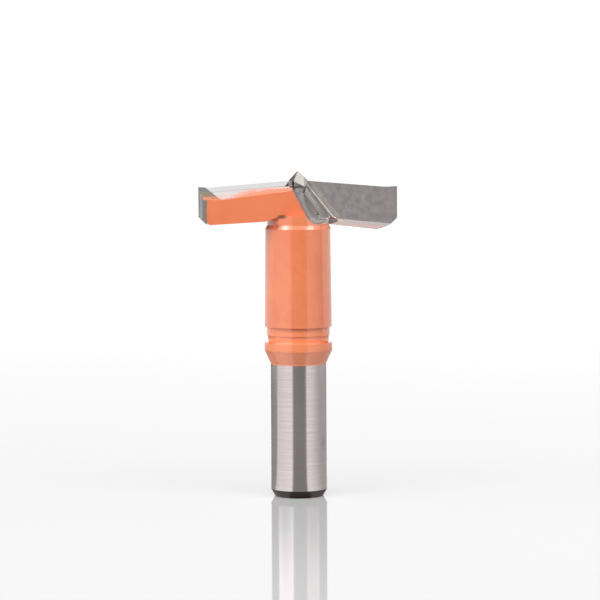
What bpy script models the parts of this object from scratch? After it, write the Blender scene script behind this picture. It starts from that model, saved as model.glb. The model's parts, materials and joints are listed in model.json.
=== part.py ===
# Hinge boring bit: a 35 mm left-hand head with two brazed carbide plates on a 10 mm shank.
# The bit stands on its shank end, on the world Z axis, and its wings lie along X.
# The outer end of the wing on +X moves towards -Y when the bit cuts.

import bpy
import bmesh
from math import atan2, cos, pi, radians, sin, sqrt, tan
from mathutils import Matrix, Vector

MM = 0.001

# Main sizes of the tool
CUT_DIAMETER = 35.0 * MM
TOTAL_LENGTH = 57.5 * MM
SHANK_DIAMETER = 10.0 * MM

# Shank end and its clamping flat
END_CHAMFER_WIDTH = 0.75 * MM
END_CHAMFER_HEIGHT = 1.3 * MM
SHANK_TOP = 23.6 * MM
FLAT_AZIMUTH = radians(21.5)
FLAT_TILT = radians(1.8)
FLAT_DEPTH = 0.75 * MM
FLAT_TOP = 22.4 * MM
FLAT_BOTTOM = 2.2 * MM
FLAT_CUTTER_DEPTH = 4.0 * MM

# Collar, groove and neck
COLLAR_RADIUS = 6.05 * MM
COLLAR_BOTTOM = 25.9 * MM
COLLAR_TOP = 27.3 * MM
GROOVE_LOWER_RADIUS = 5.45 * MM
GROOVE_STEP = 28.6 * MM
GROOVE_UPPER_RADIUS = 5.65 * MM
NECK_BOTTOM = 30.1 * MM
NECK_TOP_RADIUS = 5.85 * MM
BOSS_RADIUS = 5.5 * MM
BOSS_TOP = TOTAL_LENGTH - 7.8 * MM
BOSS_CHAMFER_TOP = BOSS_TOP - 1.7 * MM
NECK_TOP = BOSS_CHAMFER_TOP - 0.7 * MM

# Length stop screw (M5) and its tapped hole
SCREW_DIAMETER = 5.0 * MM
SCREW_LENGTH = 10.0 * MM
SCREW_RECESS = 0.5 * MM
SCREW_CHAMFER = 0.4 * MM
THREAD_CLEARANCE = 0.05 * MM
HEX_KEY_SIZE = 2.5 * MM
HEX_DEPTH = 2.8 * MM
BORE_DEPTH = 14.0 * MM
DRILL_POINT_ANGLE = radians(118.0)
CUTTER_OVERRUN = 1.0 * MM

# Wings: the rake planes hold the axis, the flanks lean out towards the rim
FLANK_AT_AXIS = 4.3 * MM
FLANK_LEAN = radians(5.7)
RAKE_STOCK = 0.5 * MM
WEB_REACH = 3.4 * MM
WING_LOW = TOTAL_LENGTH - 11.1 * MM
WING_TOP = TOTAL_LENGTH - 0.5 * MM
BODY_SIDE_CLEARANCE = 0.15 * MM

# Lower outer corners: one 45 degree cone, ground slightly off the axis
CORNER_CHAMFER = 1.2 * MM
CORNER_HEIGHT = TOTAL_LENGTH - 9.37 * MM
CORNER_OFFSET = 0.17 * MM

# Underside of a wing, given where the plate's lower edge meets the inner end of the plate.
# The two undersides are ground one at a time, so they differ a little.
UNDERSIDE_START = 2.6 * MM
UNDERSIDE_REFERENCE = 6.65 * MM
UNDERSIDE_HEIGHT_RIGHT = TOTAL_LENGTH - 8.45 * MM
UNDERSIDE_DROP_RIGHT = radians(5.3)
UNDERSIDE_LEAN_RIGHT = radians(14.5)
UNDERSIDE_HEIGHT_LEFT = TOTAL_LENGTH - 8.55 * MM
UNDERSIDE_DROP_LEFT = radians(2.9)
UNDERSIDE_LEAN_LEFT = radians(3.0)
ROOT_RECESS_SLOPE = radians(23.5)
ROOT_RECESS_RADIUS = 7.3 * MM
ROOT_RECESS_BOTTOM = TOTAL_LENGTH - 13.2 * MM
ROOT_OVERLAP = 0.1 * MM

# Ground top: main cutting edge, its relief and the spur at the rim
EDGE_CENTRE_HEIGHT = TOTAL_LENGTH - 1.63 * MM
EDGE_DROP = radians(4.65)
RELIEF_ANGLE = radians(21.5)
RELIEF_CLEAR_HEIGHT = TOTAL_LENGTH + 8.0 * MM
SPUR_WIDTH = 2.0 * MM
SPUR_RISE = 0.1 * MM
SPUR_SWEEP = 2.1 * MM
SPUR_SWEEP_DEPTH = 6.0 * MM

# Ridge along the inner end of a plate, from beside the point down to the root of the wing
RIDGE_START_X = 1.33 * MM
RIDGE_START_HEIGHT = TOTAL_LENGTH - 2.1 * MM
RIDGE_FALL = radians(51.5)
RIDGE_LENGTH = 7.7 * MM
RIDGE_RUN_IN = 5.0 * MM

# Gullet beside the point: a dish between the ridge and its outer wall, open upwards.
# The outer wall leaves the run-in at GULLET_TOP_WIDTH from the ridge and is steeper than it.
GULLET_TOP_WIDTH = 1.8 * MM
GULLET_WALL_FALL = radians(62.5)
GULLET_FOOT_HEIGHT = TOTAL_LENGTH - 9.35 * MM
GULLET_FOOT_RADIUS = 2.7 * MM
GULLET_DEPTH = 4.5 * MM
GULLET_RUN_OUT = 4.0 * MM

# Gash that thins the web next to the point, its height given on the axis
GASH_HEIGHT = TOTAL_LENGTH - 2.55 * MM
GASH_SIDE_FALL = radians(3.0)
GASH_FRONT_FALL = radians(8.0)
GASH_HALF_WIDTH = 4.0 * MM
GASH_FRONT = -7.0 * MM
GASH_BACK = -0.4 * MM
GASH_CLEAR_HEIGHT = 6.0 * MM

# Centre point
POINT_HALF_DIAGONAL = 1.72 * MM
POINT_HEIGHT = 1.75 * MM
POINT_TURN = radians(-21.8)
POINT_CORNER_X = 1.9 * MM
POINT_CORNER_Y = -1.0 * MM
POINT_HEEL_X = 1.3 * MM
POINT_HEEL_DROP = 1.0 * MM
STEM_DEPTH = 2.6 * MM
STEM_HALF_DIAGONAL = 1.15 * MM

# Carbide plate and its braze seam
PLATE_THICKNESS = 2.0 * MM
PLATE_SETBACK = 0.35 * MM
PLATE_BLANK_LENGTH = 13.5 * MM
POCKET_FRONT = -1.0 * MM
BRAZE_GAP = 0.1 * MM

# Drawing allowances
ROUND_STEPS = 96
SCREW_STEPS = 48
ARC_STEPS = 8
DISH_STEPS = 9
DISH_LEAST_SPREAD = 0.02
SMOOTH_ANGLE = radians(28.0)

RIM = CUT_DIAMETER / 2
REACH = RIM + 2.5 * MM
SPUR_START = RIM - SPUR_WIDTH
SHANK_RADIUS = SHANK_DIAMETER / 2


def clear_scene():
    for obj in list(bpy.data.objects):
        bpy.data.objects.remove(obj, do_unlink=True)


def material(name, colour, metallic, roughness):
    """Make a Principled material."""
    mat = bpy.data.materials.new(name)
    mat.use_nodes = True
    shader = mat.node_tree.nodes["Principled BSDF"]
    shader.inputs["Base Color"].default_value = (*colour, 1.0)
    shader.inputs["Metallic"].default_value = metallic
    shader.inputs["Roughness"].default_value = roughness
    mat.diffuse_color = (*colour, 1.0)
    return mat


def add_object(name, bm):
    """Turn a bmesh into a linked object with outward normals."""
    bmesh.ops.recalc_face_normals(bm, faces=bm.faces)
    mesh = bpy.data.meshes.new(name)
    bm.to_mesh(mesh)
    bm.free()
    obj = bpy.data.objects.new(name, mesh)
    bpy.context.collection.objects.link(obj)
    return obj


def add_cutter(name, bm):
    """Add a solid that only shapes others."""
    obj = add_object(name, bm)
    obj.hide_render = True
    obj.display_type = 'WIRE'
    return obj


def turned(profile, steps=ROUND_STEPS):
    """Spin a closed profile of (radius, height) points about Z."""
    bm = bmesh.new()
    verts = [bm.verts.new((r, 0.0, z)) for r, z in profile]
    edges = [bm.edges.new((verts[i], verts[i + 1])) for i in range(len(verts) - 1)]
    bmesh.ops.spin(
        bm,
        geom=verts + edges,
        cent=(0.0, 0.0, 0.0),
        axis=(0.0, 0.0, 1.0),
        angle=2 * pi,
        steps=steps,
        use_merge=True,
    )
    bmesh.ops.remove_doubles(bm, verts=bm.verts, dist=1e-7)
    return bm


def extruded(outline, step):
    """Extrude a closed outline of 3-D points by one vector."""
    bm = bmesh.new()
    face = bm.faces.new([bm.verts.new(point) for point in outline])
    swept = bmesh.ops.extrude_face_region(bm, geom=[face])
    moved = [item for item in swept["geom"] if isinstance(item, bmesh.types.BMVert)]
    bmesh.ops.translate(bm, verts=moved, vec=step)
    return bm


def lofted(sections, tip=None):
    """Skin a row of outlines that have equal point counts; close the last on a tip or a cap."""
    bm = bmesh.new()
    rings = [[bm.verts.new(point) for point in section] for section in sections]
    count = len(rings[0])
    for lower, upper in zip(rings, rings[1:]):
        for i in range(count):
            j = (i + 1) % count
            bm.faces.new((lower[i], lower[j], upper[j], upper[i]))
    bm.faces.new(rings[0])
    if tip is None:
        bm.faces.new(rings[-1])
        return bm
    apex = bm.verts.new(tip)
    for i in range(count):
        bm.faces.new((rings[-1][i], rings[-1][(i + 1) % count], apex))
    return bm


def opposite(cutter):
    """Copy a cutter to the other wing, half a turn about the axis."""
    twin = cutter.copy()
    twin.name = cutter.name + "_opposite"
    twin.rotation_euler.z = pi
    bpy.context.collection.objects.link(twin)
    return twin


def boolean(target, other, operation):
    mod = target.modifiers.new(operation.lower() + "_" + other.name, 'BOOLEAN')
    mod.operation = operation
    mod.solver = 'EXACT'
    mod.object = other


def set_finish(obj, mat):
    """Keep the modified shape as the mesh, shade its rounds smooth and give it its material."""
    graph = bpy.context.evaluated_depsgraph_get()
    mesh = bpy.data.meshes.new_from_object(obj.evaluated_get(graph))
    mesh.name = obj.name
    obj.modifiers.clear()
    obj.data = mesh
    mesh.polygons.foreach_set("use_smooth", [True] * len(mesh.polygons))
    mesh.set_sharp_from_angle(angle=SMOOTH_ANGLE)
    mesh.materials.clear()
    mesh.materials.append(mat)


def edge_height(x):
    """Height of the straight main cutting edge at distance x from the axis."""
    return EDGE_CENTRE_HEIGHT - x * tan(EDGE_DROP)


def ridge_point(distance):
    """Point on the ridge line of the wing on +X, below its start for a positive distance."""
    x = RIDGE_START_X + distance * cos(RIDGE_FALL)
    z = RIDGE_START_HEIGHT - distance * sin(RIDGE_FALL)
    return Vector((x, 0.0, z))


def body_blank():
    """Shank, collar, groove, neck and boss, turned in one."""
    return turned([
        (0.0, BOSS_TOP),
        (BOSS_RADIUS, BOSS_TOP),
        (BOSS_RADIUS, BOSS_CHAMFER_TOP),
        (NECK_TOP_RADIUS, NECK_TOP),
        (COLLAR_RADIUS, NECK_BOTTOM),
        (GROOVE_UPPER_RADIUS, NECK_BOTTOM),
        (GROOVE_UPPER_RADIUS, GROOVE_STEP),
        (GROOVE_LOWER_RADIUS, GROOVE_STEP),
        (GROOVE_LOWER_RADIUS, COLLAR_TOP),
        (COLLAR_RADIUS, COLLAR_TOP),
        (COLLAR_RADIUS, COLLAR_BOTTOM),
        (SHANK_RADIUS, SHANK_TOP),
        (SHANK_RADIUS, END_CHAMFER_HEIGHT),
        (SHANK_RADIUS - END_CHAMFER_WIDTH, 0.0),
        (0.0, 0.0),
    ])


def rim_envelope(radius):
    """Turned outside of the head."""
    low = WING_LOW - ROOT_OVERLAP
    return turned([(0.0, TOTAL_LENGTH), (radius, TOTAL_LENGTH), (radius, low), (0.0, low)])


def corner_envelope():
    """Cone that leaves the 45 degree lower corners of both wings."""
    low = WING_LOW - 2 * ROOT_OVERLAP
    top = TOTAL_LENGTH + ROOT_OVERLAP
    corner = RIM - CORNER_CHAMFER - CORNER_HEIGHT
    return turned([
        (0.0, top),
        (REACH, top),
        (REACH, REACH - corner),
        (low + corner, low),
        (0.0, low),
    ])


def wing_bar():
    """Plan of both wings as one Z-shaped bar, still without its gullets."""
    out = FLANK_AT_AXIS + REACH * tan(FLANK_LEAN)
    near = FLANK_AT_AXIS - WEB_REACH * tan(FLANK_LEAN)
    half = [(REACH, -RAKE_STOCK), (REACH, out), (-WEB_REACH, near), (-WEB_REACH, RAKE_STOCK)]
    outline = [Vector((x, y, WING_LOW)) for x, y in half]
    outline += [Vector((-x, -y, WING_LOW)) for x, y in half]
    return extruded(outline, (0.0, 0.0, WING_TOP - WING_LOW))


def underside_cutter(height, drop, lean):
    """Wedge below the wing on +X, x out along the wing and y back from its rake plane."""
    inner, front = UNDERSIDE_START, -RAKE_STOCK - ROOT_OVERLAP
    outline = []
    for x, y in ((inner, front), (REACH, front), (REACH, REACH), (inner, REACH)):
        z = height - (x - UNDERSIDE_REFERENCE) * tan(drop) - y * tan(lean)
        outline.append(Vector((x, y, z)))
    return extruded(outline, (0.0, 0.0, -REACH))


def root_recess_cutter():
    """Cone that lifts the underside where the wings meet the boss."""
    inner = BOSS_RADIUS - ROOT_OVERLAP
    top = BOSS_TOP - ROOT_OVERLAP / 2
    outer = ROOT_RECESS_RADIUS
    return turned([
        (inner, top),
        (outer, top - (outer - inner) * tan(ROOT_RECESS_SLOPE)),
        (outer, ROOT_RECESS_BOTTOM),
        (inner, ROOT_RECESS_BOTTOM),
        (inner, top),
    ])


def relief_cutter():
    """Wedge above the wing on +X: the main relief inside, the spur's relief outside."""
    drop = -SPUR_SWEEP_DEPTH * tan(RELIEF_ANGLE) + SPUR_SWEEP * tan(EDGE_DROP)
    valley = Vector((-SPUR_SWEEP, SPUR_SWEEP_DEPTH, drop))
    spur_slope = SPUR_RISE / SPUR_WIDTH
    profile = [
        (-REACH, edge_height(-REACH)),
        (SPUR_START, edge_height(SPUR_START)),
        (REACH, edge_height(SPUR_START) + (REACH - SPUR_START) * spur_slope),
        (REACH, RELIEF_CLEAR_HEIGHT),
        (-REACH, RELIEF_CLEAR_HEIGHT),
    ]
    back = valley * (REACH / SPUR_SWEEP_DEPTH)
    outline = [Vector((x, 0.0, z)) - back for x, z in profile]
    return extruded(outline, 2 * back)


def gullet_cutter():
    """Dish in front of the wing on +X, skinned over outlines that lie one before the other."""
    top = ridge_point(-RIDGE_RUN_IN)
    foot = ridge_point(RIDGE_LENGTH)
    wall_top = top - Vector((GULLET_TOP_WIDTH, 0.0, 0.0))
    drop = wall_top.z - GULLET_FOOT_HEIGHT
    wall_foot = wall_top + Vector((drop / tan(GULLET_WALL_FALL), 0.0, -drop))
    far = 2 * REACH

    def outline(spread, depth):
        high = top.lerp(wall_top, spread)
        low = foot.lerp(wall_foot, spread)
        fall = (low - high).normalized()
        turn = atan2(-fall.z, fall.x)
        radius = GULLET_FOOT_RADIUS * max(spread, DISH_LEAST_SPREAD)
        centre = low + Vector((radius * tan(turn / 2), 0.0, radius))
        points = [Vector((far, 0.0, high.z)), high]
        for i in range(ARC_STEPS + 1):
            angle = turn * (1 - i / ARC_STEPS)
            points.append(centre - radius * Vector((sin(angle), 0.0, cos(angle))))
        points.append(Vector((far, 0.0, low.z)))
        return [point + Vector((0.0, -depth, 0.0)) for point in points]

    sections = []
    for i in range(DISH_STEPS + 1):
        angle = pi / 2 * i / DISH_STEPS
        sections.append(outline(sin(angle), GULLET_DEPTH * (1 - cos(angle))))
    sections.append(outline(1.0, GULLET_DEPTH + GULLET_RUN_OUT))
    return lofted(sections)


def gash_cutter():
    """Flat gash that thins the web in front of the point."""
    side = GASH_HALF_WIDTH
    outline = []
    for x, y in ((-side, GASH_FRONT), (side, GASH_FRONT), (side, GASH_BACK), (-side, GASH_BACK)):
        z = GASH_HEIGHT - x * tan(GASH_SIDE_FALL) + y * tan(GASH_FRONT_FALL)
        outline.append(Vector((x, y, z)))
    return extruded(outline, (0.0, 0.0, GASH_CLEAR_HEIGHT))


def centre_point():
    """Four-sided point on a waisted square stem.

    Its corner beside the ridge stands out further, and the front face runs down lower there.
    """
    shoulder = TOTAL_LENGTH - POINT_HEIGHT
    tip = Vector((0.0, 0.0, TOTAL_LENGTH))

    def square(half_diagonal, height):
        ring = []
        for i in range(4):
            turn = POINT_TURN + i * pi / 2
            ring.append(Vector((half_diagonal * cos(turn), half_diagonal * sin(turn), height)))
        return ring

    stem = square(STEM_HALF_DIAGONAL, shoulder - STEM_DEPTH)
    base = square(POINT_HALF_DIAGONAL, shoulder)
    base[0] = Vector((POINT_CORNER_X, POINT_CORNER_Y, shoulder))
    face = (base[0] - tip).cross(base[3] - tip)
    heel = Vector((POINT_HEEL_X, 0.0, shoulder - POINT_HEEL_DROP))
    heel.y = -(face.x * heel.x + face.z * (heel.z - tip.z)) / face.y
    base.append(heel)
    stem.append((stem[3] + stem[0]) / 2)
    return lofted([stem, base], tip)


def plate_outline(grow):
    """Inner end and bottom of the plate on the rake plane of the wing on +X."""
    across = Vector((sin(RIDGE_FALL), 0.0, cos(RIDGE_FALL)))
    top = ridge_point(-RIDGE_RUN_IN) + across * (PLATE_SETBACK - grow)
    bottom = ridge_point(PLATE_BLANK_LENGTH) + across * (PLATE_SETBACK - grow)
    return [top, bottom, Vector((REACH, 0.0, bottom.z)), Vector((REACH, 0.0, top.z))]


def plate_blank(front, thickness, grow):
    outline = [point + Vector((0.0, front, 0.0)) for point in plate_outline(grow)]
    return extruded(outline, (0.0, thickness - front, 0.0))


def flat_cutter():
    """Box that leaves the inclined clamping flat on the shank."""
    bm = bmesh.new()
    bmesh.ops.create_cube(bm, size=1.0)
    length = (FLAT_TOP - FLAT_BOTTOM) / cos(FLAT_TILT)
    depth = FLAT_CUTTER_DEPTH
    bmesh.ops.scale(bm, vec=(depth, 2 * SHANK_DIAMETER, length), verts=bm.verts)
    bmesh.ops.translate(bm, vec=(depth / 2, 0.0, -length / 2), verts=bm.verts)
    bmesh.ops.rotate(bm, cent=(0, 0, 0), matrix=Matrix.Rotation(-FLAT_TILT, 3, 'Y'), verts=bm.verts)
    bmesh.ops.translate(bm, vec=(SHANK_RADIUS - FLAT_DEPTH, 0.0, FLAT_TOP), verts=bm.verts)
    bmesh.ops.rotate(bm, cent=(0, 0, 0), matrix=Matrix.Rotation(FLAT_AZIMUTH, 3, 'Z'), verts=bm.verts)
    return bm


def bore_cutter():
    """Drilled and tapped hole for the stop screw."""
    radius = SCREW_DIAMETER / 2 + THREAD_CLEARANCE
    tip = BORE_DEPTH + radius / tan(DRILL_POINT_ANGLE / 2)
    below = -CUTTER_OVERRUN
    return turned([(0.0, tip), (radius, BORE_DEPTH), (radius, below), (0.0, below)], SCREW_STEPS)


def build_body(paint):
    """One steel piece: turned blank and milled head."""
    body = add_object("tool_body", wing_bar())
    body_rim = add_cutter("guide_body_rim", rim_envelope(RIM - BODY_SIDE_CLEARANCE))
    corner = add_cutter("guide_lower_corner", corner_envelope())
    corner.location.x = CORNER_OFFSET
    underside = add_cutter("cut_underside", underside_cutter(
        UNDERSIDE_HEIGHT_RIGHT, UNDERSIDE_DROP_RIGHT, UNDERSIDE_LEAN_RIGHT,
    ))
    underside_left = add_cutter("cut_underside_left", underside_cutter(
        UNDERSIDE_HEIGHT_LEFT, UNDERSIDE_DROP_LEFT, UNDERSIDE_LEAN_LEFT,
    ))
    underside_left.rotation_euler.z = pi
    recess = add_cutter("cut_root_recess", root_recess_cutter())
    blank = add_cutter("guide_turned_blank", body_blank())
    gullet = add_cutter("cut_gullet", gullet_cutter())
    relief = add_cutter("cut_relief", relief_cutter())
    gash = add_cutter("cut_gash", gash_cutter())
    point = add_cutter("guide_centre_point", centre_point())
    pocket = add_cutter("cut_pocket", plate_blank(POCKET_FRONT, PLATE_THICKNESS + BRAZE_GAP, BRAZE_GAP))
    flat = add_cutter("cut_clamping_flat", flat_cutter())
    bore = add_cutter("cut_screw_bore", bore_cutter())

    boolean(body, body_rim, 'INTERSECT')
    boolean(body, corner, 'INTERSECT')
    boolean(body, underside, 'DIFFERENCE')
    boolean(body, underside_left, 'DIFFERENCE')
    boolean(body, recess, 'DIFFERENCE')
    boolean(body, blank, 'UNION')
    for cutter in (gullet, relief, gash, pocket):
        boolean(body, cutter, 'DIFFERENCE')
        boolean(body, opposite(cutter), 'DIFFERENCE')
    boolean(body, point, 'UNION')
    boolean(body, flat, 'DIFFERENCE')
    boolean(body, bore, 'DIFFERENCE')
    set_finish(body, paint)
    return body, relief, corner, (underside, underside_left)


def build_plates(carbide, relief, corner, undersides):
    """Two plates, half a turn apart, each ground flush with its own wing."""
    plate_rim = add_cutter("guide_plate_rim", rim_envelope(RIM))
    plates = []
    for name, turn, underside in (("right", 0.0, undersides[0]), ("left", pi, undersides[1])):
        plate = add_object("carbide_plate_" + name, plate_blank(0.0, PLATE_THICKNESS, 0.0))
        plate.rotation_euler.z = turn
        boolean(plate, plate_rim, 'INTERSECT')
        boolean(plate, corner, 'INTERSECT')
        boolean(plate, underside, 'DIFFERENCE')
        boolean(plate, relief if turn == 0.0 else opposite(relief), 'DIFFERENCE')
        set_finish(plate, carbide)
        plates.append(plate)
    return plates


def build_screw(steel):
    """Stop screw with a hex socket that faces down, out of the shank end."""
    radius = SCREW_DIAMETER / 2
    top = SCREW_LENGTH
    screw = add_object("length_stop_screw", turned([
        (0.0, top),
        (radius - SCREW_CHAMFER, top),
        (radius, top - SCREW_CHAMFER),
        (radius, SCREW_CHAMFER),
        (radius - SCREW_CHAMFER, 0.0),
        (0.0, 0.0),
    ], SCREW_STEPS))
    corner = HEX_KEY_SIZE / sqrt(3.0)
    outline = []
    for i in range(6):
        angle = i * pi / 3
        outline.append(Vector((corner * cos(angle), corner * sin(angle), -CUTTER_OVERRUN)))
    socket = add_cutter("cut_hex_socket", extruded(outline, (0.0, 0.0, HEX_DEPTH + CUTTER_OVERRUN)))
    boolean(screw, socket, 'DIFFERENCE')
    set_finish(screw, steel)
    screw.location.z = SCREW_RECESS
    return screw


def main():
    clear_scene()
    paint = material("orange_paint", (0.68, 0.185, 0.065), 0.0, 0.28)
    carbide = material("ground_carbide", (0.24, 0.215, 0.225), 0.9, 0.42)
    steel = material("black_oxide_steel", (0.05, 0.05, 0.055), 0.8, 0.4)

    body, relief, corner, undersides = build_body(paint)
    plates = build_plates(carbide, relief, corner, undersides)
    screw = build_screw(steel)

    axis = bpy.data.objects.new("bit_axis", None)
    axis.empty_display_size = SHANK_DIAMETER
    bpy.context.collection.objects.link(axis)
    for piece in (body, *plates, screw):
        piece.parent = axis


main()
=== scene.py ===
# %% [markdown]
# # A hinge boring bit, dressed for the camera
# The frame brings the solids of the bit: one steel body, two carbide plates and a stop screw.
# This lesson gives each of them the surface that the real tool has. The body is enamelled orange,
# but every face that a grinding wheel has touched is bare steel, so it carries several finishes.

# %% Load the frame
import json
from math import atan, cos, degrees, pi, radians, sin, sqrt, tan

import bmesh
import bpy
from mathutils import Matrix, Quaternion, Vector

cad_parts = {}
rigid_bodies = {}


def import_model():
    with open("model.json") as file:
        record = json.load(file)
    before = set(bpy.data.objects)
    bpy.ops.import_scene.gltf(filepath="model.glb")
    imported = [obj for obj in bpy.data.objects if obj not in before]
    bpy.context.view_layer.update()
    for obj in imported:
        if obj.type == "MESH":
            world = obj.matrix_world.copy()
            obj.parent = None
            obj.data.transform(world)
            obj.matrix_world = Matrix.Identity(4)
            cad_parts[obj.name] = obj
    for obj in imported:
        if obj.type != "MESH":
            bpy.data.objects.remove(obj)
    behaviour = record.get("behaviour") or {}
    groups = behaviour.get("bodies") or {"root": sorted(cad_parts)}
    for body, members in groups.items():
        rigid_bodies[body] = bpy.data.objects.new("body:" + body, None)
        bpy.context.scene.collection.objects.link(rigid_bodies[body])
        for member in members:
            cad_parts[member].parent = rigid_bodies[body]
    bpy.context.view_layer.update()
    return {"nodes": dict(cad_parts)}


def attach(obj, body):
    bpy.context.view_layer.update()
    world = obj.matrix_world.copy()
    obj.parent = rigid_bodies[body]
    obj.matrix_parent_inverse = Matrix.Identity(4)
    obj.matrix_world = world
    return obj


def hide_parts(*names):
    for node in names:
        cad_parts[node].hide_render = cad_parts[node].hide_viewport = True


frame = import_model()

MM = 0.001
print("nodes:", sorted(frame["nodes"]))

# %% [markdown]
# ## The camera
# A long lens far back keeps the two wings almost parallel to the picture. The lens stands a little
# above the head and looks slightly down, so the shank's end shows a shallow ellipse and the wings
# are seen nearly edge on.

# %% Camera
CAMERA_DISTANCE = 0.450
CAMERA_HEIGHT = 0.0656
AIM_HEIGHT = 0.0347
AIM_SIDE = 0.000317
LENS_MM = 153.3
SENSOR_MM = 36.0
CLIP_NEAR, CLIP_FAR = 0.01, 20.0
CAMERA_ROLL = radians(-0.3)

camera_data = bpy.data.cameras.new("studio_camera")
camera_data.sensor_width = SENSOR_MM
camera_data.lens = LENS_MM
camera_data.clip_start = CLIP_NEAR
camera_data.clip_end = CLIP_FAR
camera = bpy.data.objects.new("studio_camera", camera_data)
bpy.context.scene.collection.objects.link(camera)
camera.location = (AIM_SIDE, -CAMERA_DISTANCE, CAMERA_HEIGHT)
look = Vector((AIM_SIDE, 0.0, AIM_HEIGHT)) - camera.location
aimed = look.to_track_quat("-Z", "Y")
camera.rotation_euler = (aimed @ Quaternion((0.0, 0.0, 1.0), CAMERA_ROLL)).to_euler()
bpy.context.scene.camera = camera
print("camera looks down by", round(degrees(atan(-look.z / look.y)), 2), "degrees")

# %% [markdown]
# ## Node helpers
# Every finish here is a small network of nodes. Short helpers add a node, wire what they are given
# and hand back its output, so that a mask in a later cell reads almost like a formula. A mask is a
# number from zero to one that says how much of a finish lies on a spot.

# %% Helpers that add and wire nodes
WHITE = (1.0, 1.0, 1.0, 1.0)


def new_material(name):
    """A material with an empty network, its Principled shader and its output."""
    mat = bpy.data.materials.new(name)
    mat.use_nodes = True
    tree = mat.node_tree
    tree.nodes.clear()
    out = tree.nodes.new("ShaderNodeOutputMaterial")
    shader = tree.nodes.new("ShaderNodeBsdfPrincipled")
    tree.links.new(shader.outputs["BSDF"], out.inputs["Surface"])
    return mat, tree, shader


def wire(tree, value, socket):
    """Link a socket, or write a plain value."""
    if isinstance(value, bpy.types.NodeSocket):
        tree.links.new(value, socket)
    else:
        socket.default_value = value


def maths(tree, operation, a, b=0.0, clamp=False):
    node = tree.nodes.new("ShaderNodeMath")
    node.operation = operation
    node.use_clamp = clamp
    wire(tree, a, node.inputs[0])
    wire(tree, b, node.inputs[1])
    return node.outputs[0]


def plus(tree, a, b):
    return maths(tree, 'ADD', a, b)


def minus(tree, a, b):
    return maths(tree, 'SUBTRACT', a, b)


def times(tree, a, b):
    return maths(tree, 'MULTIPLY', a, b)


def larger(tree, a, b):
    return maths(tree, 'MAXIMUM', a, b)


def bump(tree, shader, height, strength, distance):
    node = tree.nodes.new("ShaderNodeBump")
    node.inputs["Strength"].default_value = strength
    node.inputs["Distance"].default_value = distance
    tree.links.new(height, node.inputs["Height"])
    tree.links.new(node.outputs["Normal"], shader.inputs["Normal"])


# %% Helpers for masks and mixes
def ramp(tree, value, low, high, start=0.0, end=1.0):
    """Map a value smoothly from one range to another."""
    node = tree.nodes.new("ShaderNodeMapRange")
    node.interpolation_type = 'SMOOTHSTEP'
    wire(tree, value, node.inputs["Value"])
    node.inputs["From Min"].default_value = low
    node.inputs["From Max"].default_value = high
    node.inputs["To Min"].default_value = start
    node.inputs["To Max"].default_value = end
    return node.outputs["Result"]


def between(tree, value, start, full, fading, end):
    """A mask that rises from start to full and falls from fading to end."""
    return times(tree, ramp(tree, value, start, full), ramp(tree, value, end, fading))


def value_mix(tree, factor, low, high):
    """Go from one number to another as the factor goes from zero to one."""
    return plus(tree, times(tree, factor, high - low), low)


def colour_mix(tree, factor, low, high):
    """Go from one colour to another; the Mix node keeps its colours in sockets 6 and 7."""
    node = tree.nodes.new("ShaderNodeMix")
    node.data_type = 'RGBA'
    wire(tree, factor, node.inputs[0])
    for value, socket in ((low, node.inputs[6]), (high, node.inputs[7])):
        wire(tree, value if isinstance(value, bpy.types.NodeSocket) else (*value, 1.0), socket)
    return node.outputs[2]


# %% Helpers for places and patterns
def object_point(tree):
    """Object coordinates and their three numbers."""
    coord = tree.nodes.new("ShaderNodeTexCoord")
    split = tree.nodes.new("ShaderNodeSeparateXYZ")
    tree.links.new(coord.outputs["Object"], split.inputs[0])
    return coord.outputs["Object"], split.outputs[0], split.outputs[1], split.outputs[2]


def noise(tree, vector, scale, detail=2.0, stretch=(1.0, 1.0, 1.0)):
    """Noise on a stretched copy of the coordinates."""
    mapping = tree.nodes.new("ShaderNodeMapping")
    mapping.inputs["Scale"].default_value = stretch
    tree.links.new(vector, mapping.inputs["Vector"])
    node = tree.nodes.new("ShaderNodeTexNoise")
    node.inputs["Scale"].default_value = scale
    node.inputs["Detail"].default_value = detail
    tree.links.new(mapping.outputs["Vector"], node.inputs["Vector"])
    return node.outputs["Fac"]


def contrast(tree, pattern, low=0.0, high=1.0):
    """The middle of a noise, where nearly all its values lie, spread between two values."""
    return ramp(tree, pattern, 0.3, 0.7, low, high)


def speckle(tree, vector, scale, low=0.0, high=1.0, stretch=(1.0, 1.0, 1.0)):
    """Noise brought between two values."""
    return contrast(tree, noise(tree, vector, scale, 3.0, stretch), low, high)


# %% [markdown]
# ## The steel body
# The solid arrives as loose triangles. A copy is merged, its flat regions are joined back into
# single faces, and its sharp edges get a narrow bevel, because no real edge is perfectly sharp and
# the bevel is what catches the light. The copy then stands for the node.
# Each finish of the body has its own material slot, and a face gets its slot from where it lies and
# which way it looks. That could be done by hand in the editor, but a test on the normal names the
# reason: the grinding wheel leaves flat planes, and every plane has one direction.

# %% Merge a copy of a node
MERGE_DISTANCE = 2e-7
FLAT_REGION = radians(0.2)


def merged_copy(node_name):
    """A clean bmesh made from a node's triangles."""
    bm = bmesh.new()
    bm.from_mesh(frame["nodes"][node_name].data)
    bmesh.ops.remove_doubles(bm, verts=bm.verts, dist=MERGE_DISTANCE)
    bmesh.ops.dissolve_limit(
        bm, angle_limit=FLAT_REGION, use_dissolve_boundaries=False,
        verts=bm.verts, edges=bm.edges, delimit=set(),
    )
    bmesh.ops.recalc_face_normals(bm, faces=bm.faces)
    return bm


def finished_piece(name, bm):
    """Write a bmesh to a piece that rides on the body."""
    mesh = bpy.data.meshes.new(name)
    bm.to_mesh(mesh)
    bm.free()
    piece = bpy.data.objects.new(name, mesh)
    bpy.context.scene.collection.objects.link(piece)
    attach(piece, "root")
    return piece


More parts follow.
